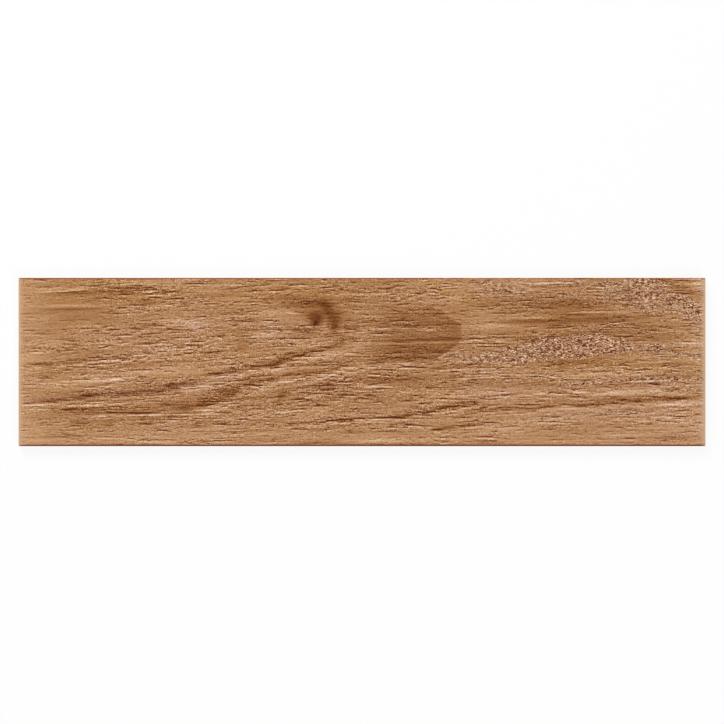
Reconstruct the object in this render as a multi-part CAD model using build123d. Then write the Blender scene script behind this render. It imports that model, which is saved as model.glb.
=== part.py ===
"""A plank-shaped floor tile: one dry-pressed, glazed and fired ceramic slab.

It lies face up. The origin is the middle of its back, in the plane of the key ribs' feet, with
X along the plank, Y across it and Z up through the glazed face. All sizes are in millimetres.
"""

import os

from build123d import *

# The slab
length = 600.0  # along X, the work size of a nominal 600 mm plank
width = 147.0  # along Y, the work size of a nominal 150 mm plank
thickness = 9.0  # along Z, from the feet of the key ribs to the face

# The pressed edge, from the face down to the back
face_corner_radius = 0.3  # plan corners of the flat face, inside the arris
arris_radius = 0.8  # soft round between the face and the sides
back_bevel_width = 0.7  # how far the back stands in from the sides
back_bevel_height = 1.4  # how far up the sides that slant reaches

# The key on the back, a waffle of shallow pockets between ribs that the adhesive grips
pocket_mouth = 14.0  # side of a square pocket where it opens, in the plane of the back
pocket_depth = 0.8  # from the ribs' feet to the pocket's floor
pocket_draft = 40.0  # degrees that a pocket's walls lean, so that the punch lets go
rib_width = 3.0  # foot of the rib between two pockets
key_border = 6.0  # least width of the plain rim round the waffle


def pressed_slab():
    """The slab as the die shapes it: upright sides, a round arris at the face, a bevel at the back."""
    die_corner_radius = face_corner_radius + arris_radius
    slab = extrude(RectangleRounded(length, width, die_corner_radius), amount=thickness)
    back = slab.faces().sort_by(Axis.Z)[0]
    slab = chamfer(back.edges(), back_bevel_width, back_bevel_height, reference=back)
    face = slab.faces().sort_by(Axis.Z)[-1]
    return fillet(face.edges(), arris_radius)


def pockets_along(side):
    """How many whole pockets, with a rib between each two, fit between the plain rims."""
    pitch = pocket_mouth + rib_width
    return int((side - 2 * key_border + rib_width) // pitch)


def key_studs():
    """The punch's studs that press the waffle: one tapered square stud at each place of the grid."""
    pitch = pocket_mouth + rib_width
    stud = extrude(Rectangle(pocket_mouth, pocket_mouth), amount=pocket_depth, taper=pocket_draft)
    grid = GridLocations(pitch, pitch, pockets_along(length), pockets_along(width))
    return [place * stud for place in grid]


plank_tile = pressed_slab() - key_studs()
plank_tile.label = "plank_tile"

os.makedirs("parts", exist_ok=True)
export_step(plank_tile, "parts/plank_tile.step")
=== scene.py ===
import math

import bpy
import numpy as np
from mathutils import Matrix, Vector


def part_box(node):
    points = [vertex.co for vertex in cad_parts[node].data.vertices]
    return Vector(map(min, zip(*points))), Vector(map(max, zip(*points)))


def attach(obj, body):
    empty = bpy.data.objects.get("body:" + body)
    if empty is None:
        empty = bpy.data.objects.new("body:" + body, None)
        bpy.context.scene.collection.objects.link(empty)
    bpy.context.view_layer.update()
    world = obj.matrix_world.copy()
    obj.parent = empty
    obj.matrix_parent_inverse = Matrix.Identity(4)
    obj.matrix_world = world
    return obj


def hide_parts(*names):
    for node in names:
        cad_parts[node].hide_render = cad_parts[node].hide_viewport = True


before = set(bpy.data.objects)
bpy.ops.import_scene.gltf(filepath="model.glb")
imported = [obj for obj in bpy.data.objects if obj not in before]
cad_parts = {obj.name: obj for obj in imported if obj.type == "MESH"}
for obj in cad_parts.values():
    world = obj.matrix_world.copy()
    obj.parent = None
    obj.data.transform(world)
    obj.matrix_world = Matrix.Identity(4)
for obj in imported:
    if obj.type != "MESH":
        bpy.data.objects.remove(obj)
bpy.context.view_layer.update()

# Plank tile
# One pressed and fired stoneware plank. The upper punch presses the relief of a plain-sawn oak board
# into its face, the board's colours are printed on that and glazed, and a waffle in the back keys the
# adhesive.
MM = 0.001  # metres in a millimetre, the unit that this script draws in
tile_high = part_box("plank_tile")[1]
half_length = tile_high.x / MM
half_width = tile_high.y / MM
thickness = tile_high.z / MM
arris_radius = 0.8
flat_half_length = half_length - arris_radius
flat_half_width = half_width - arris_radius
face_columns = 280
face_rows = 290
column_x = np.linspace(-flat_half_length, flat_half_length, face_columns + 1)
row_y = np.linspace(-flat_half_width, flat_half_width, face_rows + 1)
x, y = np.meshgrid(column_x, row_y)


def ease(t):
    """0 below 0, 1 above 1, and between them three t squared less two t cubed."""
    t = np.clip(t, 0, 1)
    return t * t * (3 - 2 * t)


def bell(distance, reach):
    """A bell curve: e to the power of minus the square of distance over reach."""
    return np.exp(-((distance / reach) ** 2))


def row_values(along, row, length, seed):
    """Random numbers one length apart along each row, eased from one to the next. Every row is slid
    along by its own random amount, so that no two rows change at the same place."""
    rows = 1024
    places = 256
    spread = np.random.default_rng(seed)
    values = spread.standard_normal((rows, places))
    slide = spread.uniform(0, places, rows)
    row = row % rows
    place = along / length + slide[row]
    left = np.floor(place).astype(int)
    share = ease(place - left)
    return (1 - share) * values[row, left % places] + share * values[row, (left + 1) % places]


def drift(along, across, length, width, seed):
    """Soft streaks: random rows one width apart, eased from each row into the next."""
    row = np.floor(across / width).astype(int)
    share = ease(across / width - row)
    mixed = (1 - share) * row_values(along, row, length, seed)
    return mixed + share * row_values(along, row + 1, length, seed)


def fibres(along, across, length, width, seed):
    """Light and dark fibre pairs: every row is a line of zeros with a random slope across it, and the
    height between two rows eases from the one slope to the other. Steep slopes are made steeper still,
    so that strong fibres are few. Scaled to a spread of one."""
    row = np.floor(across / width).astype(int)
    t = across / width - row
    share = ease(t)
    here = row_values(along, row, length, seed)
    above = row_values(along, row + 1, length, seed)
    height = (1 - share) * t * here * np.abs(here) + share * (t - 1) * above * np.abs(above)
    return height / height.std()


def across_grain():
    """Where a point lies across the grain: y, less how far the fibres have climbed there. They climb
    gently all along, steeply in the lower limb of the arches and at the top, and part at the knot."""
    gentle = 0.02 * x
    lower_limb = 12 * np.tanh((x + 98) / 90) * bell(y + 14, 36)
    top = 5 * np.tanh((x + 110) / 40) * bell(y - 60, 16)
    parted = 0.4 * (y - 36) * bell(np.hypot((x + 38) / 22, (y - 36) / 15), 1)
    return y - gentle - lower_limb - top - parted


grain = across_grain()
fine_grain = 0.65 * y + 0.35 * grain
wander = drift(x, grain, 22, 5, 3)
course_columns = 7
end_fade = 7.0
dash_reach = 0.5
# How far below a pore its lip lies and how strong the lip is, for pores and for bands: the lips are painted
# highlight and shade of the relief
painted_lip_gap = 1.25
painted_lip_share = 0.3
band_painted_highlight_share = 0.3


def band(reach_above, reach_below, depth, points):
    """A band of the figure. Straight runs between its points, averaged over a few columns of the face,
    are its course, a bell on either side gives its width, a paler lip below it is a painted highlight,
    as on the lit far wall of a groove, and both ends fade away."""
    along, height = np.array(points, float).T
    runs = np.pad(np.interp(column_x, along, height), course_columns // 2, mode="edge")
    course = np.convolve(runs, np.full(course_columns, 1 / course_columns), "valid")
    offset = y - course - 0.5 * wander
    body = bell(offset, np.where(offset > 0, reach_above, reach_below))
    body = body - band_painted_highlight_share * bell(offset + 2.2 * reach_below + 0.6, 1.1 * reach_below)
    return depth * body * ease((x - along[0]) / end_fade) * ease((along[-1] - x) / end_fade)


def dash(middle_x, middle_y, length, rise):
    """A pore: a spindle about a millimetre thick that climbs by its rise from left to right, with a
    weaker lip of the other sign below it: painted light of the relief, a highlight below a dark pore
    and painted shade below a pale fibre."""
    share = (x - middle_x) / length
    offset = y - middle_y - rise * share - 0.2 * wander
    body = bell(offset, dash_reach) - painted_lip_share * bell(offset + painted_lip_gap, dash_reach)
    return body * ease((0.5 - np.abs(share)) / 0.2)


def patch(middle_x, middle_y, reach_x, reach_y, lean, depth, firm=1):
    """A soft patch of tone: a bell over an ellipse that leans by the given degrees. With the distance from
    its middle raised to a power, firm, its top is flatter and its edge firmer."""
    cos = math.cos(math.radians(lean))
    sin = math.sin(math.radians(lean))
    right = x - middle_x
    up = y - middle_y
    distance = np.hypot((right * cos + up * sin) / reach_x, (up * cos - right * sin) / reach_y)
    return depth * bell(distance ** firm, 1)


def hook(middle_x, middle_y, radius_x, radius_y, reach, depth):
    """A band that hooks round the right of the knot: a bell about an ellipse, from its top right round to
    its bottom right."""
    right = (x - middle_x) / radius_x
    up = (y - middle_y) / radius_y
    angle = np.degrees(np.arctan2(up, right))
    turned = ease((angle + 55) / 40) * ease((125 - angle) / 50)
    return depth * turned * bell((np.hypot(right, up) - 1) * radius_x + 0.5 * wander, reach)


# Bands of the figure: reach above and below, depth of tone, then points from left to right
knot_arch = (
    (1.5, 1.0, 0.17, ((-298, -36.5), (-262, -32.4), (-232, -29.3))),
    (3.2, 2.8, 0.15, ((-250, -31.2), (-232, -29.8), (-200, -27.6), (-172, -25), (-156, -22))),
    (2.6, 1.8, 0.15, ((-176, -21.4), (-150, -18.4), (-136, -16))),
    (2.6, 1.7, 0.19, ((-140, -12), (-124, -10.3), (-108, -6.6), (-99, -4.5), (-85, -3.8), (-64, 0.2))),
    (0.9, 0.8, 0.18, ((-68, -3.4), (-45, -3), (-22, -3), (-3, -2.4))),
    (3.6, 2.6, 0.12, ((-80, -0.5), (-66, 3), (-45, 9), (-25, 14.5), (-14, 18))),
)
heart_arch = (
    (2.2, 1.6, 0.15, ((-108, -20.8), (-97, -19.8), (-76, -15.3), (-68, -12), (-40, -8.8), (-8, -3))),
    (4.0, 3.0, 0.08, ((-168, -41), (-150, -39), (-135, -35.5), (-128, -33))),
    (6.0, 3.5, 0.13, ((-146, -37.5), (-132, -34), (-120, -30), (-102, -21.5))),
    (1.6, 1.1, 0.08, ((-160, -40.4), (-134, -37.8), (-124, -33.5), (-116, -30.2), (-106, -25.6))),
    (4.0, 2.2, 0.04, ((-276, -43.5), (-238, -42), (-170, -40.5), (-146, -39))),
    (0.9, 0.7, 0.25, ((-226, -44.3), (-190, -44.3), (-174, -44.1))),
    (0.8, 0.7, 0.15, ((-254, -45), (-240, -44.7), (-224, -44.3))),
)
lower_arch = (
    (1.3, 1.0, 0.20, (
        (-72, -54.6), (-52, -53), (-24, -50.6), (-8, -50), (10, -48), (28, -48.3), (44, -47),
    )),
    (2.2, 1.7, 0.13, ((36, -45.6), (60, -43), (70, -40.2), (82, -38.2), (104, -34.4))),
    (1.2, 1.0, 0.27, ((58, -59.4), (74, -58.2), (88, -56.6), (118, -53))),
    (1.0, 0.9, 0.17, ((32, -47.6), (50, -45.6), (60, -43.4), (72, -40.4))),
    (0.8, 0.7, 0.15, ((2, -1.2), (20, -0.2), (34, 0.4), (48, 1.2))),
    (1.9, 1.5, 0.13, (
        (147, -38.6), (165, -38.4), (200, -37.8), (215, -36), (246, -33.8), (256, -32.4), (284, -31.9),
    )),
    (0.9, 0.8, 0.10, ((150, -39.2), (178, -38.8), (204, -37.9), (226, -35.6), (248, -34))),
    (0.9, 0.8, 0.16, ((84, -36), (104, -31.8), (116, -29.4), (136, -27.6))),
    (0.8, 0.8, 0.07, ((208, -51.6), (236, -46.2), (256, -41.6), (276, -38))),
    (2.0, 1.8, 0.13, ((88, -45), (114, -41.4), (132, -40), (152, -38.6))),
)
end_bands = (
    (2.0, 1.4, 0.15, ((-298, -4), (-268, -1.4), (-250, 0.6), (-232, 2.6), (-200, 3.2))),
    (0.9, 0.8, 0.24, ((266, 9.8), (277, 8.5), (281, 6.8), (299, 4.4))),
    (0.9, 0.7, 0.16, ((122, 13.6), (137, 16.4), (149, 19), (160, 21.6), (190, 24.2), (212, 24), (236, 20))),
)
soft_bands = (
    (3.0, 3.0, -0.05, ((-297, -19.6), (-274, -18.4), (-227, -15.7), (-169, -6), (-134, 1.8), (-95, 7.6))),
    (1.6, 1.6, 0.05, ((-227, -9.9), (-180, -6), (-146, -2), (-126, 2.5), (-111, 7.6))),
    (2.2, 2.2, -0.05, ((-146, -23.5), (-115, -15.7), (-87, -7.9), (-56, -2.1), (-25, 5.6), (-2, 9.5))),
    (2.0, 2.0, -0.04, ((-103, -31.2), (-80, -21.5), (-49, -16.9), (-25, -14.5))),
    (2.4, 2.4, -0.04, ((25, -41), (52, -34), (83, -30), (130, -30), (207, -28.5), (266, -25.4))),
    (2.0, 2.0, -0.035, ((75, -44.8), (130, -44.8), (207, -41))),
    (1.4, 1.4, 0.035, ((107, -19), (184, -20), (262, -19))),
    (0.9, 0.9, -0.09, ((120, -31.2), (150, -27.6), (176, -26.2), (205, -26.6), (262, -24.4))),
    (0.9, 0.9, -0.07, ((204, -54), (232, -48.4), (262, -41.6), (294, -36.6))),
    (0.8, 0.8, -0.08, ((42, -48.6), (64, -44.4), (82, -41.4), (100, -37.6))),
)

# Pores: middle, length and rise from left to right
darkest_pores = (
    (-216.5, 28.2, 12, -0.2), (-174, -59.7, 10, -0.3), (-98.5, -19.9, 10, 0.2), (-104.5, -50, 11, 0.2),
    (10.5, -10.5, 13, -0.8), (45, -4.5, 28, -1.8), (234, -15.6, 6, 0.8), (-123, -54, 11, -0.4),
    (-73, -20.4, 5, -0.4), (-181, 56.6, 12, -1.6), (-48.5, 53.1, 9, -0.3), (-54.5, 43.4, 11, -0.9),
    (-80.5, 36.4, 6, 0), (-73.3, 36.2, 4, 0), (-109, 52.2, 9, 0.6), (-154, 15, 10, 0),
    (107, -65.3, 18, 0.2), (262, 59.4, 5, 0.2), (-194, -44.2, 26, 0), (-14, -50.1, 14, 0),
    (24, -48.2, 30, 0.2), (-26, -50.8, 12, 0.4),
)
dark_pores = (
    (-164, 28.7, 13, -0.3), (-292, 18.3, 8, 0), (-286, 9.2, 12, 0), (-198, 29, 14, -1), (-182, 25, 28, 2),
    (-192.5, 21.8, 8, 0), (-184, 16.1, 38, 1.9), (-146, 14.5, 18, -0.4), (-256, 18.9, 24, -2),
    (-234, 66.4, 12, 0.8), (-231, 69.4, 18, 0.6), (-214.5, 64.5, 8, 0), (-196, 66.4, 12, -0.2),
    (-184, 63.4, 16, 0.6), (-252, 61.2, 30, 2.6), (-290, 27.7, 14, 0), (-170, -38, 20, 0.2),
    (-250, -56, 11, 0), (-188, -54, 16, -0.3), (-221, -55.2, 10, -0.3), (-250, -3.8, 18, -0.7),
    (-214, -0.6, 9, 0), (-79.5, -15.3, 8, 0.2), (-66, -11.8, 10, 0.6), (-46, -9.4, 12, 1),
    (-145, -57, 11, 0), (-30, -20.1, 8, 0), (-12, -20, 10, 0), (-13, -29.2, 24, -0.4),
    (-51.5, -32.1, 12, -0.2), (-35.5, -33.4, 11, -0.2), (-51, -37.5, 13, 0), (-34, -38, 16, 0),
    (-58, -41.4, 12, 2), (-96, -24, 13, 0.3), (-50, -26.6, 13, 0), (-30, -24, 17, 0),
    (-112, 64.3, 14, 1.6), (-98, 66.2, 14, 1.4), (-84, 67.3, 12, 0.4), (-94, 49.8, 9, 0.5),
    (-68, 63.6, 14, 1), (-53.5, 67.3, 8, 1.4), (-34, 60.8, 13, 1.5), (-9, 55.2, 18, -0.7),
    (-7.5, 52.5, 16, -1), (-7.5, 69.5, 6, -0.3), (-7, 20.5, 15, 0), (-7, 8.3, 15, -0.5),
    (-24, 12.3, 14, 1.6), (-38.5, 9.5, 13, 0.6), (-56, 5, 14, 2), (19, -6.5, 22, 0), (67, -5.5, 16, 0),
    (77.5, -9, 15, 0), (58.5, -23, 4, -0.3), (7.5, -29.5, 15, -0.3), (78.5, -16, 8, 0),
    (98.5, -15, 13, 0.6), (95, -17.8, 11, 0.2), (123.5, -28.8, 21, 1.5), (127.5, -42, 15, 0),
    (46, -55, 28, -2), (26, -60.9, 28, -0.7), (111, -69, 12, -0.2), (-2, -49.2, 12, 0.4),
    (78, -38.7, 18, 1.6), (49, 58.6, 23, 5.5), (62.5, 64.2, 16, -3.5), (21, 64.3, 19, 0.3),
    (28.5, 53, 8, 0), (66.5, 49.6, 17, -0.2), (89.5, 44.9, 11, 0.6), (88, 41.1, 5, 0),
    (112.5, 49.1, 25, 2.4), (8.5, 36, 8, -0.3), (101, 20.8, 19, 0.3), (108.5, 16.4, 27, -0.6),
    (106.5, 13.5, 13, -0.3), (126, 57.2, 9, 0), (194, -7.8, 9, 0), (242, -7.2, 30, 2.5),
    (195, -16.1, 11, -0.2), (216, -17.6, 12, 0.5), (243, -15.2, 8, 0.3), (255, -15, 12, 0.3),
    (270, -13.4, 9, 1), (216.5, -44, 8, 0.2), (225, -43.4, 7, 0.3), (237, -44.5, 7, 0),
    (243.5, -43.1, 8, 0.3), (165, -48.1, 21, 0.3), (225, -57, 7, 0), (245, -54.6, 22, 0.2),
    (279, -47.5, 19, 0), (164.5, -58.6, 4, 0), (276, 60.2, 28, -2.2), (292, 47, 8, -6),
    (-209, 47.5, 9, 0), (-180, 32, 22, -1.1), (-156, 48.6, 13, 0.2), (-161, 55.6, 14, 0.6),
    (166, 22.4, 16, 0.5), (186, 22.8, 7, 0.3), (154, 20, 9, 0.3), (143, 15.6, 4, 0.3),
    (172, 4.6, 9, 0.1), (161, 4, 18, 0.5), (132, 5.4, 11, 0.4), (175, -1.2, 4, 0),
)
pale_fibres = (
    (-262, 61.8, 46, 3), (-188, 61, 14, 0.6), (-180.5, 58, 12, -0.4), (-234, -14.4, 13, 0),
    (-214, -15, 16, -0.3), (-285, -4.5, 6, 0), (-263, -3.4, 8, 0), (-249, -2.7, 18, -0.4),
    (-285, -37.8, 20, 0.3), (-252, -38, 12, 0), (-227, -47, 10, 0), (-190, -46.4, 40, 0.2),
    (-216, 0.9, 8, 0), (-225, 1, 6, 0), (-191, 3.1, 7, 0), (-280, 8, 22, 0), (-153, 16.2, 6, 0),
    (-84, -6, 10, 0.6), (-96, -7.8, 9, 1), (-123, -12.8, 11, 1.2), (-67, -17.6, 20, 1),
    (-134, -41.9, 34, 0.3), (-60, 42.4, 17, -1), (11, -11.9, 13, -0.6), (36, -1.9, 13, -0.2),
    (91, -6.8, 58, 1.4), (14, -21.7, 32, 0), (40, -26.5, 20, -3), (104, -14, 42, 2.6),
    (124, -26.9, 19, 0.4), (107, -67, 24, -0.3), (58, 27.4, 22, 0.2), (10, -49.9, 46, 1.4),
    (71, 5.6, 10, 5.5), (102.5, 18.6, 16, 0.2), (104, 21.9, 13, 0.2), (108, 14.7, 18, -0.4),
    (196, 43.6, 33, 1), (258, -16.2, 52, 1.6), (165, -13.5, 11, 0), (190, -17.4, 10, 0),
    (160, -25.5, 21, 0.1), (190, -27, 11, 0), (260, -25.5, 11, 0), (139, 61, 9, 0),
    (-26.5, -11.3, 8, 0), (-46, -30.8, 9, 0), (-20, -36.5, 12, 0.3), (121, 17.6, 10, -0.3),
)

# The tip of the heartwood: each height, and how far right it reaches there
heart_tip = (
    (2, 62), (5, 70), (10, 77), (14, 83), (20, 87), (32, 88), (38, 79), (43, 72), (49, 62), (55, 40),
)

# Patches of tone: middle, reach along and across, lean in degrees, depth, and firmness where not 1
knot_patches = (
    (-40.5, 38.0, 6.4, 7.6, 0, 0.22, 2),
    (-40.0, 34.0, 1.7, 2.2, 0, 0.34),
    (-39.0, 38.6, 1.3, 1.5, 0, 0.12),
    (-32.5, 50.0, 6.0, 4.4, -12, 0.13),
    (-31.0, 42.5, 5.5, 6.0, 0, 0.16),
    (-24.0, 36.0, 6.6, 9.5, -8, 0.13, 2),
    (-24.0, 25.0, 4.0, 5.0, 0, 0.07),
    (-49.0, 42.0, 6.0, 4.0, 0, 0.11),
    (-18.0, 17.5, 4.2, 5.0, 0, 0.09),
    (-46.5, 27.0, 5.0, 3.0, 0, 0.10),
    (-57.0, 28.0, 4.0, 2.5, 0, 0.06),
    (-52.0, 26.0, 10.0, 4.5, 0, 0.06),
    (-31.5, 30.0, 3.0, 3.0, 0, -0.04),
    (-37.0, 47.4, 4.0, 1.2, 15, -0.06),
    (-56.0, 51.0, 16.0, 4.2, -3, 0.13),
    (-59.0, 54.8, 2.6, 1.2, 0, 0.12),
    (-42.0, 50.5, 11.0, 3.4, -2, 0.07),
    (-66.0, 2.5, 4.5, 3.0, 0, 0.12),
)
broad_patches = (
    (-300.0, 0.0, 22.0, 200.0, 0, -0.07),
    (-250.0, 46.0, 46.0, 13.0, 0, 0.025),
    (-205.0, 60.0, 38.0, 6.0, 0, 0.05),
    (-187.0, 53.5, 7.0, 2.6, 20, 0.12),
    (-152.0, 33.2, 26.0, 4.6, 0, -0.12),
    (-80.0, 42.0, 12.0, 4.0, 0, -0.06),
    (-78.0, 28.0, 12.0, 9.0, 0, -0.05),
    (-8.0, 13.0, 12.0, 7.0, 0, -0.05),
    (80.0, 66.0, 60.0, 8.0, 0, -0.03),
    (-268.0, 15.0, 14.0, 4.0, 0, -0.06),
    (-104.0, 17.0, 5.0, 8.0, -20, 0.08),
    (-132.0, 7.0, 6.0, 3.0, 0, 0.08),
    (-70.5, -31.0, 3.4, 8.5, -35, 0.15),
    (-30.0, -24.0, 3.5, 8.0, 0, 0.08),
    (-113.0, -29.2, 5.0, 1.6, 10, 0.12),
    (-119.0, -26.0, 5.0, 1.3, 10, 0.09),
    (-195.0, -40.5, 46.0, 3.5, 2, 0.04),
    (-246.0, -53.0, 9.0, 2.6, 0, 0.12),
    (-222.0, -52.0, 9.0, 1.6, 0, 0.09),
    (-188.0, -52.0, 9.0, 2.4, 0, 0.12),
    (30.0, -15.5, 32.0, 4.0, 0, 0.08),
    (28.0, 1.6, 44.0, 2.6, 0, 0.06),
    (178.0, 41.0, 60.0, 9.0, 0, 0.08),
    (175.0, 39.5, 12.0, 2.0, 0, 0.08),
    (207.0, 37.4, 22.0, 3.0, 0, 0.05),
    (204.0, 27.0, 14.0, 2.6, 0, 0.07),
    (172.0, 31.5, 11.0, 3.2, 0, 0.07),
    (250.0, 19.0, 16.0, 3.0, 0, 0.04),
    (150.0, 54.0, 55.0, 5.0, 0, 0.06),
    (245.0, 26.0, 34.0, 6.0, 0, 0.035),
    (279.0, 64.5, 18.0, 3.2, -18, 0.12),
    (296.0, 69.0, 7.0, 4.0, -18, -0.10),
    (292.0, 45.0, 12.0, 12.0, 0, -0.05),
    (174.5, -4.5, 2.0, 4.0, 0, 0.12),
    (285.0, 16.0, 16.0, 6.0, 0, -0.03),
    (268.0, -45.0, 60.0, 18.0, 0, -0.06),
    (300.0, 0.0, 10.0, 200.0, 0, -0.05),
    (110.0, 35.0, 17.0, 8.0, 0, -0.06),
    (81.0, 54.5, 8.0, 2.6, 0, -0.06),
    (182.0, 1.0, 27.0, 2.8, 0, 0.12),
    (95.0, -2.0, 18.0, 1.6, 0, 0.08),
    (182.0, 51.5, 50.0, 3.0, 0, 0.06),
    (200.0, 36.5, 34.0, 4.0, 0, 0.03),
    (242.0, 21.0, 30.0, 4.0, 0, 0.05),
    (-220.0, 17.0, 20.0, 4.0, 0, -0.08),
    (-165.0, 11.5, 16.0, 3.0, 0, -0.06),
    (-200.0, -9.0, 36.0, 3.6, 4, -0.06),
    (-264.0, -21.5, 18.0, 3.6, 0, -0.07),
    (-141.0, -22.0, 12.0, 2.6, 8, -0.07),
    (150.0, 70.0, 22.0, 3.0, 0, -0.06),
    (288.0, 8.0, 9.0, 18.0, 0, -0.04),
    (208.0, -13.0, 60.0, 2.6, 1, -0.07),
    (102.0, -27.0, 38.0, 4.0, 0, -0.06),
    (262.0, -27.0, 24.0, 2.4, 0, -0.06),
    (140.0, -34.5, 30.0, 2.0, 3, -0.05),
    (-112.0, -46.5, 50.0, 2.6, 0, -0.04),
    (-210.0, -64.0, 32.0, 3.4, 0, -0.04),
    (14.0, -68.0, 40.0, 3.0, 0, -0.02),
    (110.0, -70.0, 12.0, 2.0, 0, 0.08),
    (22.0, -14.5, 30.0, 2.6, 0, 0.05),
    (-30.0, -21.5, 20.0, 3.0, 6, 0.06),
    (-18.0, -27.5, 30.0, 2.4, 0, 0.06),
    (-206.0, 62.0, 30.0, 3.0, 0, 0.05),
    (-100.0, 35.0, 13.0, 7.0, 0, 0.04),
    # A darker line along the upper edge of the long torn patch: painted shadow of its raised fibres
    (155.0, 24.5, 32.0, 3.5, 2, 0.05),
    (112.0, 18.0, 22.0, 4.0, 0, 0.03),
    (-92.0, -11.5, 13.0, 3.2, 15, 0.10),
    (-112.0, -2.0, 24.0, 3.0, 12, -0.045),
    (-131.0, 17.0, 16.0, 4.0, 0, -0.065),
    (-184.0, 5.5, 26.0, 3.0, 2, -0.05),
    (-165.0, -10.0, 20.0, 3.0, 6, -0.05),
    (-128.0, -17.5, 14.0, 3.0, 12, 0.04),
    (-56.0, -17.5, 16.0, 3.0, 12, 0.04),
    (-20.0, -24.0, 18.0, 2.6, 4, -0.035),
    (-45.0, -49.0, 42.0, 4.6, 3, -0.05),
    (-115.0, -59.5, 40.0, 3.5, 0, -0.035),
    (160.0, -50.0, 42.0, 4.5, 2, -0.08),
    (78.0, -51.5, 24.0, 3.0, 6, -0.045),
    (188.0, -60.0, 34.0, 3.5, 0, 0.035),
    (130.0, -10.5, 18.0, 3.0, 0, -0.035),
    (37.0, 59.5, 28.0, 3.0, 4, 0.04),
    (-166.0, 66.0, 18.0, 3.0, 0, -0.05),
    (-95.0, -67.0, 36.0, 4.0, 0, 0.045),
    (215.0, -67.0, 36.0, 4.0, 0, -0.04),
    (95.0, -60.0, 14.0, 2.6, 4, 0.04),
    (-278.0, -16.5, 16.0, 3.4, 4, 0.04),
    (20.0, -17.5, 18.0, 2.6, 0, 0.04),
    (-92.0, -38.0, 14.0, 3.4, 10, 0.04),
    (-130.0, 52.0, 14.0, 3.2, 0, 0.04),
    (-280.0, 38.0, 14.0, 4.0, 0, -0.035),
)
# Hooks round the knot: middle, radius along and across, reach, depth
knot_hooks = (
    (-42.0, 36.0, 18.5, 15.5, 4.0, 0.07),
    (-42.0, 33.0, 29.0, 22.0, 3.0, 0.06),
    (-42.0, 33.0, 38.0, 26.0, 2.0, 0.03),
)
bands = sum(band(*one) for one in knot_arch + heart_arch + lower_arch + end_bands + soft_bands)
bands = bands * np.clip(1.0 + 0.75 * fibres(x, y, 9, 1.3, 5), 0.0, 2.4)
drawn_pores = 0.42 * sum(dash(*one) for one in darkest_pores)
drawn_pores = drawn_pores + 0.30 * sum(dash(*one) for one in dark_pores)
drawn_fibres = 0.26 * sum(dash(*one) for one in pale_fibres)
patches = sum(patch(*one) for one in knot_patches + broad_patches)
patches = patches + sum(hook(*one) for one in knot_hooks)


def heartwood():
    """A dark tongue of heartwood that points right. Its tip is a broken line, combed out along the grain,
    with a darker rim, it fades to the left, and a paler streak parts its upper half from the darker
    lower half."""
    tip_y, tip_x = np.array(heart_tip, float).T
    combed = np.interp(y, tip_y, tip_x) + 0.8 * fibres(x, fine_grain, 14, 2.2, 7)
    inside = ease((combed - x) / 1.7) * ease((y - 1.4 - 0.4 * wander) / 1.4) * ease((57 - y) / 9)
    upper = 0.016 * bell(y - 36, 9) * ease((x - 10) / 20)
    lower = 0.03 * ease((24 - y) / 6) * ease((x - 0.9 * y + 12) / 30)
    darkest = 0.028 * bell(np.hypot((x - 60) / 30, (y - 19.6) / 3), 1)
    darkest = darkest + 0.025 * bell(np.hypot((x - 40) / 32, (y - 6) / 3.5), 1)
    rim = 0.024 * bell(combed - x - 4, 6)
    return inside * (0.085 * ease((x + 6) / 40) + upper + lower + darkest + rim)


def torn(upper, lower):
    """A patch where the saw has torn the fibres: between two broken lines, with a ragged edge, strongest
    along its upper edge."""
    ragged = 1.2 * drift(x, y, 5, 2.4, 11)
    above = np.interp(x, *np.array(upper, float).T) - y + ragged
    below = y - np.interp(x, *np.array(lower, float).T) + ragged
    ends = ease((x - upper[0][0]) / 6) * ease((upper[-1][0] - x) / 6)
    strength = 0.75 + 0.5 * bell(above - 2.5, 3.5)
    return strength * ease(above / 1.6 + 0.5) * ease(below / 3 + 0.5) * ends


torn_middle = torn(
    ((94, 4), (112, 8), (125, 13), (149, 18), (165, 21),
     (190, 24), (212, 23.5), (219, 18), (227, 20.5), (240, 14)),
    ((94, -3), (125, -2), (149, 2), (190, 2), (205, 6), (232, 10), (240, 11)),
)
torn_middle = torn_middle * (0.6 + 0.6 * ease((x - 100) / 50))
torn_tail = torn(((238, 13), (253, 15.5), (262, 15.5), (270, 12)), ((238, 11), (250, 11.5), (270, 10)))
torn_top = torn(
    ((206, 70), (235, 72), (240, 76), (264, 76), (267, 61), (285, 57), (292, 48), (300, 42)),
    ((206, 53), (235, 52), (238, 46), (250, 42), (275, 42), (283, 37), (300, 32)),
)
torn_top = torn_top * (0.5 + 0.35 * ease((x - 228) / 10))
# Single torn spots, as patches
torn_spots = (
    (182, 58, 12, 2.4, 0, 0.6),
    (188, 68, 9, 3, 0, 0.6),
    (128, 63, 20, 5, 0, 0.6),
    (258, 3.5, 6, 2, 0, 0.6),
    (108, 69, 9, 3, 0, 0.6),
    (87, 5, 9, 4, 0, 0.7),
    (293, 2.5, 6, 2, 0, 0.6),
)
torn_fringe = sum(patch(*one) for one in torn_spots)


def seam(reach, strength, points):
    """A line of torn fibres: a bell on either side of a broken line, faded at both ends."""
    along, height = np.array(points, float).T
    ends = ease((x - along[0]) / end_fade) * ease((along[-1] - x) / end_fade)
    return strength * bell(y - np.interp(x, along, height) + 0.5 * wander, reach) * ends


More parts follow.
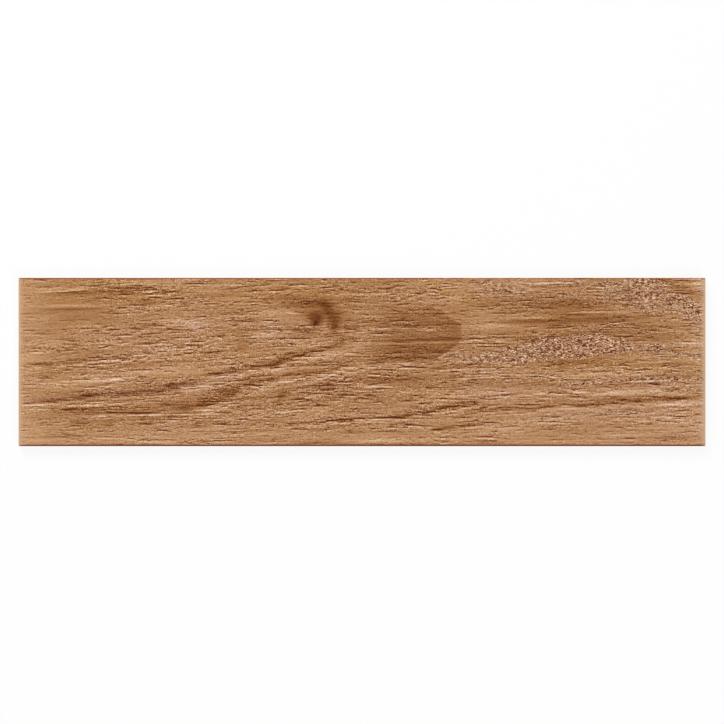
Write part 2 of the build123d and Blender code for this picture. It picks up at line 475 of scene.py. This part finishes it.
# Seams of torn fibres: reach, strength, then points from left to right
torn_seams = (
    (1.7, 0.8, ((168, -21.5), (195, -19), (222, -16.5), (246, -15.2), (304, -14.6))),
    (1.5, 0.5, ((84, -37), (108, -30), (134, -28))),
    (1.4, 0.5, ((244, -25.5), (304, -24.5))),
    (1.2, 0.3, ((136, -50), (186, -48))),
    (1.2, 0.45, ((204, -44.5), (250, -43.8))),
    (1.4, 0.6, ((258, 10.5), (280, 7), (304, 4.5))),
)
seams = sum(seam(*one) for one in torn_seams)
flake = np.clip(torn_middle + torn_tail + torn_top + torn_fringe + seams, 0, 1.4)

# How coarse the fibres are: finer at the top left, along the bottom and in the heartwood, and patchy
# all over. As patches, below zero where finer
coarse_patches = (
    (-250, 44, 44, 15, 0, -0.5),
    (-180, 8, 44, 18, 0, 0.12),
    (-300, 0, 50, 200, 0, -0.35),
    (-270, 66, 34, 8, 0, -0.3),
    (-272, 12, 30, 8, 0, -0.2),
    (120, 40, 40, 14, 0, -0.2),
    (270, 28, 30, 12, 0, -0.2),
    (-20, -30, 80, 22, 0, 0.2),
    (180, 40, 70, 12, 0, -0.35),
    (-32, 38, 14, 11, 0, -0.25),
    (220, -42, 110, 26, 0, -0.2),
    (-40, 42, 26, 15, 0, -0.5),
    (60, 25, 32, 22, 0, -0.42),
)
coarse = 0.95 + sum(patch(*one) for one in coarse_patches)
coarse = coarse - 0.35 * ease((-55 - y) / 8) + 1.5 * np.clip(bands, 0, 0.2)
coarse = np.clip(coarse * np.exp(0.3 * drift(x, grain, 26, 5, 29)), 0.1, 1.3)
broken = np.clip(1.0 + 0.4 * drift(x, y, 5, 1.4, 47), 0.3, 1.5) * np.clip(coarse + 0.15, 0.45, 1.05)
drawn_pores = broken * drawn_pores
drawn_fibres = broken * drawn_fibres

short_fibres = fibres(x, fine_grain, 4, 1.5, 13)
middle_fibres = fibres(x, fine_grain, 12, 1.45, 17)
long_fibres = drift(x, fine_grain, 30, 1.25, 31)
long_fibres = long_fibres * np.abs(long_fibres)
hair_fibres = fibres(x, fine_grain, 26, 1.1, 41)
streaks = fibres(x, grain, 60, 4.0, 37)
cloud = drift(x, grain, 70, 6, 19)
fine = 0.019 * short_fibres + 0.024 * middle_fibres + 0.030 * long_fibres + 0.006 * hair_fibres
pale_foot = 0.035 * ease((-52 - y) / 12)
mean_tone = 0.534
tone = mean_tone - bands - drawn_pores + drawn_fibres - patches - heartwood() + pale_foot
tone = tone + coarse * fine + 0.02 * streaks + 0.012 * cloud

# How yellow the print is: yellower along the top left and in streaks, greyer in the darkest band and
# the heartwood. As patches, below zero where greyer
warm_patches = (
    (-215, 60, 85, 12, 0, 0.6),
    (-40, 62, 60, 10, 0, 0.5),
    (80, 59, 34, 4, -20, 0.8),
    (235, -2, 75, 6, -2, 0.6),
    (-146, 31, 14, 6, 0, -0.8),
    (-76, 32, 12, 8, 0, -0.5),
    (70, 22, 50, 14, 0, -0.3),
    (100, -22, 22, 5, 0, -0.5),
    (210, -21, 80, 4, 0, -0.35),
    (230, -42, 90, 22, 0, -0.3),
)
grey_course = ((-300, -36), (-262, -31.5), (-200, -26), (-160, -22), (-105, -10))
warm = sum(patch(*one) for one in warm_patches)
warm = warm - np.clip(band(3.5, 3.0, 0.9, grey_course), 0, 1) + 0.15 * drift(x, grain, 40, 5, 43)

# The relief, in millimetres: strong fibres stand up, pores and dark bands lie deeper
relief = 0.5 * coarse * fine - 0.15 * drawn_pores - 0.12 * np.clip(bands, 0, 0.3)
relief = relief + flake * 0.03 * fibres(x, y, 3.0, 1.5, 23)
highest_fibre = 0.12
deepest_pore = 0.2
relief = np.clip(relief, -deepest_pore, highest_fibre)
gap_along = flat_half_length - np.abs(x)
gap_across = flat_half_width - np.abs(y)
relief_margin = 2.0
relief = relief * ease(np.minimum(gap_along, gap_across) / relief_margin)
face_level = thickness - relief.max()

# The glaze draws back from the arris: brown along the two long edges, partly fired glaze and partly painted
# shade of the rounded arris, most along the front one, which faces away from the key light, and the left of
# the back one, and a pale bloom at the two ends
stain_and_shade_reach = np.where(y < 0, 1.1, 0.5)
stain_and_shade_depth = np.where(y < 0, 1.0, 0.95 - 0.4 * ease((x - 30) / 60))
stain = ease(1 - gap_across / stain_and_shade_reach) * stain_and_shade_depth
bloom_reach = 3.5
bloom = ease(1 - gap_along / bloom_reach)

# The sides: a soft arris rolls from the face down to straight sides, and a slanted foot runs round the back
arris_steps = 4
corner_steps = 3
glaze_edge = 2.4
bevel_width = 0.7
bevel_height = 1.4

face_grid = np.arange(x.size).reshape(x.shape)
face_points = np.stack((x, y, face_level + relief), -1).reshape(-1, 3)

# The path round the face, anticlockwise, with a fan of directions at each corner
sides = (face_grid[0, :], face_grid[:, -1], face_grid[-1, ::-1], face_grid[::-1, 0])
path = []
heading = []
for quarter, side in enumerate(sides):
    fan = np.arange(1, corner_steps) / corner_steps
    path += [side, np.repeat(side[-1], len(fan))]
    heading += [np.full(len(side), quarter - 1.0), quarter - 1.0 + fan]
path = np.concatenate(path)
heading = np.concatenate(heading) * math.pi / 2

# The profile carried along it: how far out, and how far below the face
turn = np.linspace(0, math.pi / 2, arris_steps + 1)[1:]
foot = face_level - bevel_height
out = np.concatenate((arris_radius * np.sin(turn), [arris_radius] * 2, [arris_radius - bevel_width]))
down = np.concatenate((arris_radius * (1 - np.cos(turn)), [glaze_edge, foot, face_level]))
ring_x = face_points[path, 0] + out[:, None] * np.cos(heading)
ring_y = face_points[path, 1] + out[:, None] * np.sin(heading)
ring_z = np.repeat(face_level - down[:, None], len(path), 1)
ring_points = np.stack((ring_x, ring_y, ring_z), -1).reshape(-1, 3)
rings = x.size + np.arange(ring_x.size).reshape(ring_x.shape)
wall = np.vstack((path, rings))
wall = np.hstack((wall, wall[:, :1]))

# The back: a waffle of shallow pockets with slanted walls, between ribs and inside a flat rim
pocket_mouth = 14.0
pocket_depth = 0.8
pocket_draft = 40
pocket_floor = pocket_mouth - 2 * pocket_depth * math.tan(math.radians(pocket_draft))
rib_width = 3.0
pockets_long = 34
pockets_wide = 8


def waffle_lines(count):
    """Places of the lines across one row of pockets, and their depth as a share: each pocket has two
    lines at its mouth and two at its floor, and the row is centred."""
    pitch = pocket_mouth + rib_width
    middles = (np.arange(count) - (count - 1) / 2) * pitch
    offsets = np.array((-pocket_mouth, -pocket_floor, pocket_floor, pocket_mouth)) / 2
    return (middles[:, None] + offsets).ravel(), np.tile((0.0, 1.0, 1.0, 0.0), count)


line_x, deep_x = waffle_lines(pockets_long)
line_y, deep_y = waffle_lines(pockets_wide)
back_x, back_y = np.meshgrid(line_x, line_y)
back_z = pocket_depth * np.minimum(deep_x[None, :], deep_y[:, None])
back_points = np.stack((back_x, back_y, back_z), -1).reshape(-1, 3)
back_grid = x.size + ring_x.size + np.arange(back_x.size).reshape(back_x.shape)
points = np.vstack((face_points, ring_points, back_points))


def corners(grid):
    """The four corners of every cell of a grid, anticlockwise where rows run up and columns right."""
    return np.stack((grid[:-1, :-1], grid[:-1, 1:], grid[1:, 1:], grid[1:, :-1]), -1).reshape(-1, 4)


face_quads = corners(face_grid)
wall_quads = corners(wall[::-1])
back_quads = corners(back_grid[:, ::-1])

# At the corners the wall's first strip is a fan of triangles, because the face has one point there
pinched = wall_quads[:, 2] == wall_quads[:, 3]

# The rim of the back: one flat polygon on each side, between the foot and the waffle
last_ring = np.append(rings[-1], rings[-1, 0])
quarter_starts = np.cumsum([0] + [len(side) + corner_steps - 1 for side in sides])
inner_sides = (back_grid[0, :], back_grid[:, -1], back_grid[-1, ::-1], back_grid[::-1, 0])
rims = []
for quarter, inner in enumerate(inner_sides):
    outer = last_ring[quarter_starts[quarter]:quarter_starts[quarter + 1] + 1]
    rims.append(np.concatenate((outer[::-1], inner)))

tile_mesh = bpy.data.meshes.new("oak_plank_tile")
faces = face_quads.tolist() + wall_quads[~pinched].tolist() + wall_quads[pinched][:, :3].tolist()
smooth_count = len(faces)
faces += back_quads.tolist() + [rim.tolist() for rim in rims]
tile_mesh.from_pydata(points * MM, [], faces)
tile_mesh.polygons.foreach_set("use_smooth", np.arange(len(faces)) < smooth_count)
tile = bpy.data.objects.new("oak_plank_tile", tile_mesh)
bpy.context.scene.collection.objects.link(tile)

# The map that the surface is painted through: the face, then a strip for the sides, then the back
map_start = 0.002
map_length = 0.996
face_strip = 0.003, 0.718
side_strip = 0.725, 0.765
back_strip = 0.775, 0.997


def plan_map(corner_points, strip):
    """Map places by plan: x goes along the map and y up the strip."""
    place = points[corner_points, :2] / (2 * half_length, 2 * half_width) + 0.5
    return place * (map_length, strip[1] - strip[0]) + (map_start, strip[0])


def wall_map():
    """Map places of the wall's corners: the way round goes along the map and the way down the profile
    goes up the strip."""
    closed_x = np.append(ring_x[-2], ring_x[-2, 0])
    closed_y = np.append(ring_y[-2], ring_y[-2, 0])
    travel = np.append(0, np.cumsum(np.hypot(np.diff(closed_x), np.diff(closed_y))))
    slope = np.append(0, np.cumsum(np.hypot(np.diff(np.append(0, out)), np.diff(np.append(0, down)))))
    u, v = np.meshgrid(travel / travel[-1], slope / slope[-1])
    place = np.stack((corners(u[::-1]), corners(v[::-1])), -1)
    return place * (map_length, side_strip[1] - side_strip[0]) + (map_start, side_strip[0])


wall_places = wall_map()
map_places = np.concatenate((
    plan_map(face_quads, face_strip).reshape(-1, 2),
    wall_places[~pinched].reshape(-1, 2),
    wall_places[pinched][:, :3].reshape(-1, 2),
    plan_map(back_quads, back_strip).reshape(-1, 2),
    plan_map(np.concatenate(rims), back_strip),
))
tile_mesh.uv_layers.new(name="OFBake").uv.foreach_set("vector", map_places.astype(np.float32).ravel())


def finish_layer(name, on_face, on_sides, on_back):
    """Stores a number at each point for the finish: the face's own, one for each place on the path round
    the face, carried down the sides, and one for the whole back."""
    side_values = np.tile(np.broadcast_to(on_sides, path.shape), len(out))
    values = np.concatenate((on_face.ravel(), side_values, np.full(back_x.size, on_back)))
    layer = tile_mesh.attributes.new(name, "FLOAT", "POINT")
    layer.data.foreach_set("value", values.astype(np.float32))


finish_layer("tone", tone, tone.ravel()[path], 0.5)
finish_layer("grain", fine_grain, fine_grain.ravel()[path], 0.0)
finish_layer("flake", flake, flake.ravel()[path], 0.0)
finish_layer("coarse", coarse, coarse.ravel()[path], 1.0)
finish_layer("warm", warm, warm.ravel()[path], 0.0)
finish_layer("stain", stain, stain.ravel()[path] * np.abs(np.sin(heading)), 0.0)
finish_layer("bloom", bloom, np.abs(np.cos(heading)), 0.0)


def srgb(red, green, blue):
    """A colour given as 0 to 255 on screen, as the linear colour that a shader takes."""
    screen = np.array((red, green, blue)) / 255
    linear = np.where(screen > 0.04045, ((screen + 0.055) / 1.055) ** 2.4, screen / 12.92)
    return (*linear.tolist(), 1.0)


class Shade:
    """One socket of a shader tree. Arithmetic with numbers and other shades adds Math nodes, and
    node() adds any other node."""

    def __init__(self, tree, socket=None):
        self.tree = tree
        self.socket = socket

    def node(self, kind, settings=(), sockets=(), output=0):
        """Adds a node: sets its settings, then gives each named socket its value or link."""
        made = self.tree.nodes.new(kind)
        for name, value in dict(settings).items():
            if name == "stops":
                for position, _ in value[1:-1]:
                    made.color_ramp.elements.new(position)
                for element, (position, colour) in zip(made.color_ramp.elements, value):
                    element.position = position
                    element.color = colour
            else:
                setattr(made, name, value)
        for name, value in dict(sockets).items():
            if isinstance(value, Shade):
                self.tree.links.new(value.socket, made.inputs[name])
            else:
                made.inputs[name].default_value = value
        return Shade(self.tree, made.outputs[output] if made.outputs else None)

    def output(self, name):
        """Another output of the node that this socket is on."""
        return Shade(self.tree, self.socket.node.outputs[name])

    def math(self, operation, first, second):
        """One Math node."""
        return self.node("ShaderNodeMath", {"operation": operation}, {0: first, 1: second})

    def __add__(self, other):
        return self.math("ADD", self, other)

    __radd__ = __add__

    def __sub__(self, other):
        return self.math("SUBTRACT", self, other)

    def __rsub__(self, other):
        return self.math("SUBTRACT", other, self)

    def __mul__(self, other):
        return self.math("MULTIPLY", self, other)

    __rmul__ = __mul__

    def step(self, low, high):
        """0 below low, 1 above high, eased between them."""
        settings = {"interpolation_type": "SMOOTHSTEP"}
        return self.node("ShaderNodeMapRange", settings, {0: self, 1: low, 2: high})

    def layer(self, name):
        """A number that the mesh stores at each point."""
        return self.node("ShaderNodeAttribute", {"attribute_name": name}, output=2)

    def blend(self, first, second, share, way="MIX"):
        """The first colour, going over to the second as share goes from 0 to 1, or to the first times the
        second where the way is MULTIPLY."""
        settings = {"data_type": "RGBA", "blend_type": way}
        return self.node("ShaderNodeMix", settings, {0: share, 6: first, 7: second}, 2)

    def noise(self, along, across, up, detail):
        """Soft noise about zero, with one lump to each unit of the three places given."""
        place = self.node("ShaderNodeCombineXYZ", (), {0: along, 1: across, 2: up})
        sockets = {"Vector": place, "Scale": 1.0, "Detail": detail, "Roughness": 0.55}
        return self.node("ShaderNodeTexNoise", (), sockets) - 0.5

    def pores(self, along, across, up):
        """Thin dark pores, each with a pale lip below it that is a painted highlight, as on the lit far
        wall
        of a groove: the peaks of a noise, less those of the same noise moved down."""
        opened = self.noise(along, across, up, 1.0).step(0.10, 0.19)
        painted_highlight = self.noise(along, across + 0.9, up, 1.0).step(0.10, 0.19)
        return 0.14 * painted_highlight - 0.31 * opened

    def threads(self, along, across, up):
        """Crooked broken lines, 1 in their middles and 0 between them: where a noise crosses zero."""
        crossing = self.noise(along, across, up, 1.0)
        return 1 - crossing.math("ABSOLUTE", crossing, 0.0).step(0.01, 0.065)


def oak_glaze():
    """The tile's one finish: print and matt glaze on the face, with painted highlights and shade on its
    pores, bands and torn fibres, a thin glaze that has fired brown on the arris, darkened there with
    painted shade, and ends in an uneven line on the sides, the bare buff body below that and on the back,
    and a rubbed pale kiln wash on the ribs of the back that also stands in for painted shade in the
    pockets."""
    material = bpy.data.materials.new("oak_glaze")
    material.use_nodes = True
    material.node_tree.nodes.clear()
    shade = Shade(material.node_tree)
    place = shade.node("ShaderNodeSeparateXYZ", (), {0: shade.node("ShaderNodeTexCoord", output="Object")})
    along, across, up = (place.output(axis) * (1 / MM) for axis in "XYZ")
    deep = up * 0.1
    grain_place = shade.layer("grain")
    coarse_here = shade.layer("coarse")
    flake_here = shade.layer("flake")

    soft_fibre = shade.noise(along * 0.82, grain_place * 0.98, deep, 2.0)
    short_fibre = soft_fibre * (0.3 + 3.8 * soft_fibre.math("ABSOLUTE", soft_fibre, 0.0))
    hair = shade.noise(along * 0.14, grain_place * 1.7, deep, 1.0)
    long_pores = shade.pores(along * 0.045, grain_place * 0.70, deep)
    short_pores = shade.pores(along * 0.15, grain_place * 0.76, deep + 0.5)
    middle_fibre = shade.noise(along * 0.27, grain_place * 0.62, deep, 1.0)
    crumb = shade.noise(along * 0.42, grain_place * 0.34, deep, 1.0)
    fuzz = 1.05 * short_fibre + 0.26 * middle_fibre + 0.12 * crumb
    print_tone = shade.layer("tone") + coarse_here * (fuzz + 0.9 * long_pores + 0.85 * short_pores)

    # Torn fibres in the flaked patches: pale crooked threads, partly raised fibres and partly painted
    # highlight, and dark crooked threads beside them that are painted shadow
    crooked = across + 1.8 * shade.noise(along * 0.4, across * 0.4, deep, 1.0)
    tuft_highlight = shade.threads(along * 0.20, crooked * 0.54, deep)
    hollow_shadow = shade.threads(along * 0.22 + 5.3, crooked * 0.58 + 3.1, deep)
    tuft_highlight_cloud = shade.noise(along * 0.22, across * 0.3, deep, 1.0)
    hollow_shadow_cloud = shade.noise(along * 0.25 + 7.0, across * 0.3, deep, 1.0)
    tuft_highlight_strength = flake_here * (1.0 + 3.2 * tuft_highlight_cloud)
    hollow_shadow_strength = flake_here * (1.0 + 3.2 * hollow_shadow_cloud)
    print_tone = print_tone + 0.22 * tuft_highlight_strength * tuft_highlight

    oak = shade.node("ShaderNodeValToRGB", {"stops": (
        (0.18, srgb(90, 35, 0)),
        (0.34, srgb(130, 75, 30)),
        (0.50, srgb(170, 120, 75)),
        (0.66, srgb(206, 161, 121)),
        (0.82, srgb(239, 206, 176)),
    )}, {0: print_tone})
    yellower = (1.02, 1.0, 0.8, 1.0)
    greyer = (0.99, 1.0, 1.2, 1.0)
    torn_buff = srgb(176, 126, 90)
    tuft_highlight_cream = srgb(246, 212, 178)
    hollow_shadow_brown = srgb(104, 40, 0)
    warm_here = shade.layer("warm") + 1.8 * shade.noise(along * 0.2, grain_place * 0.5, deep, 1.0)
    oak = shade.blend(oak, yellower, warm_here, "MULTIPLY")
    oak = shade.blend(oak, greyer, 0.0 - warm_here, "MULTIPLY")
    # The torn patches' buff, then their painted highlights in cream and their painted shadows in dark brown
    oak = shade.blend(oak, torn_buff, flake_here * 0.3)
    oak = shade.blend(oak, tuft_highlight_cream, tuft_highlight_strength * tuft_highlight * 0.9)
    oak = shade.blend(oak, hollow_shadow_brown, hollow_shadow_strength * hollow_shadow * 1.95)

    # The arris's brown is fired glaze with painted shade on it: darker along the front edge, away from the
    # key light, than along the back edge
    front_shaded_brown = srgb(112, 40, 0)
    back_stain_and_shade_brown = srgb(152, 74, 2)
    run_thin = shade.noise(along * 0.05, across * 0.05, 0.0, 2.0)
    brown_edge_and_shade = shade.blend(front_shaded_brown, back_stain_and_shade_brown, (across * 0.02 + 2.0 * run_thin).step(-0.6, 0.6))
    glazed = shade.blend(oak, brown_edge_and_shade, shade.layer("stain"))
    bloom_cream = srgb(206, 174, 146)
    bloom_gold = srgb(219, 173, 124)
    bloom_here = shade.layer("bloom")
    pale_edge = shade.blend(bloom_cream, bloom_gold, bloom_here.step(0.8, 1.0))
    glazed = shade.blend(glazed, pale_edge, bloom_here * 0.9)

    clay_pale = srgb(200, 168, 134)
    clay_dark = srgb(172, 136, 102)
    rib_wash_and_shade = srgb(226, 214, 196)
    clay_speck = shade.noise(along * 1.4, across * 1.4, up * 1.4, 4.0)
    clay_cloud = shade.noise(along * 0.05, across * 0.05, up * 0.3, 3.0)
    clay_mix = (clay_speck + 0.45 * clay_cloud + 0.5).step(0.3, 0.7)
    clay = shade.blend(clay_pale, clay_dark, clay_mix)
    # A pale kiln wash on the ribs, rubbed in places, which also stands in for painted shade: the pockets
    # between the ribs stay darker
    rubbed = (clay_speck + 1.2 * clay_cloud).step(-0.45, 0.15)
    on_ribs = (0.3 - up).step(0.0, 0.25)
    clay = shade.blend(clay, rib_wash_and_shade, on_ribs * (0.25 + 0.6 * rubbed))
    glaze_line = shade.noise(along * 0.15, across * 0.15, up * 0.2, 3.0)
    glaze_foot = thickness - glaze_edge
    on_glaze = (up + 2.6 * glaze_line).step(glaze_foot - 0.3, glaze_foot + 0.3)
    colour = shade.blend(clay, glazed, on_glaze)

    matt = 0.56 + 0.5 * hair + 0.25 * short_fibre
    bare_roughness = 0.85
    glaze_sheen = 0.17
    roughness = on_glaze * matt + (1 - on_glaze) * bare_roughness
    bumped = on_glaze * (short_fibre * 0.6 + 0.3 * flake_here * tuft_highlight) + (1 - on_glaze) * clay_speck
    normal = shade.node("ShaderNodeBump", (), {"Strength": 0.25, "Distance": 0.2 * MM, "Height": bumped})
    surface = shade.node("ShaderNodeBsdfPrincipled", (), {
        "Base Color": colour,
        "Roughness": roughness,
        "Normal": normal,
        "Specular IOR Level": glaze_sheen,
    })
    shade.node("ShaderNodeOutputMaterial", (), {"Surface": surface})
    return material


tile_mesh.materials.append(oak_glaze())
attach(tile, "root")
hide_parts("plank_tile")

# Floor
# A plain white studio sweep. To the camera and in reflections it glows white, and it keeps a part of
# the tile's soft shadow.
floor_half = 12.0
floor_glow = 0.86
floor_mesh = bpy.data.meshes.new("floor")
floor_corners = np.array(((-1, -1, 0), (1, -1, 0), (1, 1, 0), (-1, 1, 0)))
floor_mesh.from_pydata(floor_corners * floor_half, [], [(0, 1, 2, 3)])
floor = bpy.data.objects.new("floor", floor_mesh)
bpy.context.scene.collection.objects.link(floor)
floor_material = bpy.data.materials.new("white_sweep")
floor_material.use_nodes = True
floor_material.node_tree.nodes.clear()
sweep = Shade(floor_material.node_tree)
shadowed = sweep.node("ShaderNodeBsdfDiffuse", (), {"Color": (1, 1, 1, 1)})
glow = sweep.node("ShaderNodeEmission", (), {"Color": (1, 1, 1, 1), "Strength": 1.0})


def seen_rays(shade):
    """1 for rays from the camera, a reflection or a refraction, and 0 for rays that only carry light."""
    rays = shade.node("ShaderNodeLightPath")
    mirrored = shade.math("MAXIMUM", rays.output("Is Glossy Ray"), rays.output("Is Transmission Ray"))
    return shade.math("MAXIMUM", rays.output("Is Camera Ray"), mirrored)


white = sweep.node("ShaderNodeMixShader", (), {0: seen_rays(sweep) * floor_glow, 1: shadowed, 2: glow})
sweep.node("ShaderNodeOutputMaterial", (), {"Surface": white})
floor_mesh.materials.append(floor_material)

# Light
# An even studio sky and two large soft boxes, a stronger one behind the tile and a weaker one in front.
sky_level = 0.45
sky = bpy.data.worlds.new("studio_sky")
sky.use_nodes = True
sky.node_tree.nodes.clear()
sky_shade = Shade(sky.node_tree)
dim = sky_shade.node("ShaderNodeBackground", (), {"Color": (1, 1, 1, 1), "Strength": sky_level})
bright = sky_shade.node("ShaderNodeBackground", (), {"Color": (1, 1, 1, 1), "Strength": 1.0})
shown = sky_shade.node("ShaderNodeLightPath", output="Is Camera Ray")
mixed_sky = sky_shade.node("ShaderNodeMixShader", (), {0: shown, 1: dim, 2: bright})
sky_shade.node("ShaderNodeOutputWorld", (), {"Surface": mixed_sky})
bpy.context.scene.world = sky


def soft_box(name, place, size, watts):
    """A square lamp at that place, in metres, turned to the middle of the tile."""
    lamp = bpy.data.lights.new(name, "AREA")
    lamp.shape = "SQUARE"
    lamp.size = size
    lamp.energy = watts
    box = bpy.data.objects.new(name, lamp)
    bpy.context.scene.collection.objects.link(box)
    box.location = place
    box.rotation_euler = (-box.location).to_track_quat("-Z", "Y").to_euler()


soft_box("key_box", (-0.9, 1.9, 1.7), 1.4, 44)
soft_box("fill_box", (0.9, -1.9, 1.7), 1.4, 20)

# Camera
# Straight above the middle of the face, as far off as puts the plank's 600 mm on 95 percent of the frame.
photo_pixels = 724
plank_pixels = 687.15
lens = 100.0
sensor = 36.0
frame_width = 2 * tile_high.x * photo_pixels / plank_pixels
camera_data = bpy.data.cameras.new("camera")
camera_data.lens = lens
camera_data.sensor_width = sensor
camera = bpy.data.objects.new("camera", camera_data)
camera.location = (0, 0, tile_high.z + frame_width * lens / sensor)
bpy.context.scene.collection.objects.link(camera)
bpy.context.scene.camera = camera
bpy.context.scene.view_settings.view_transform = "Standard"
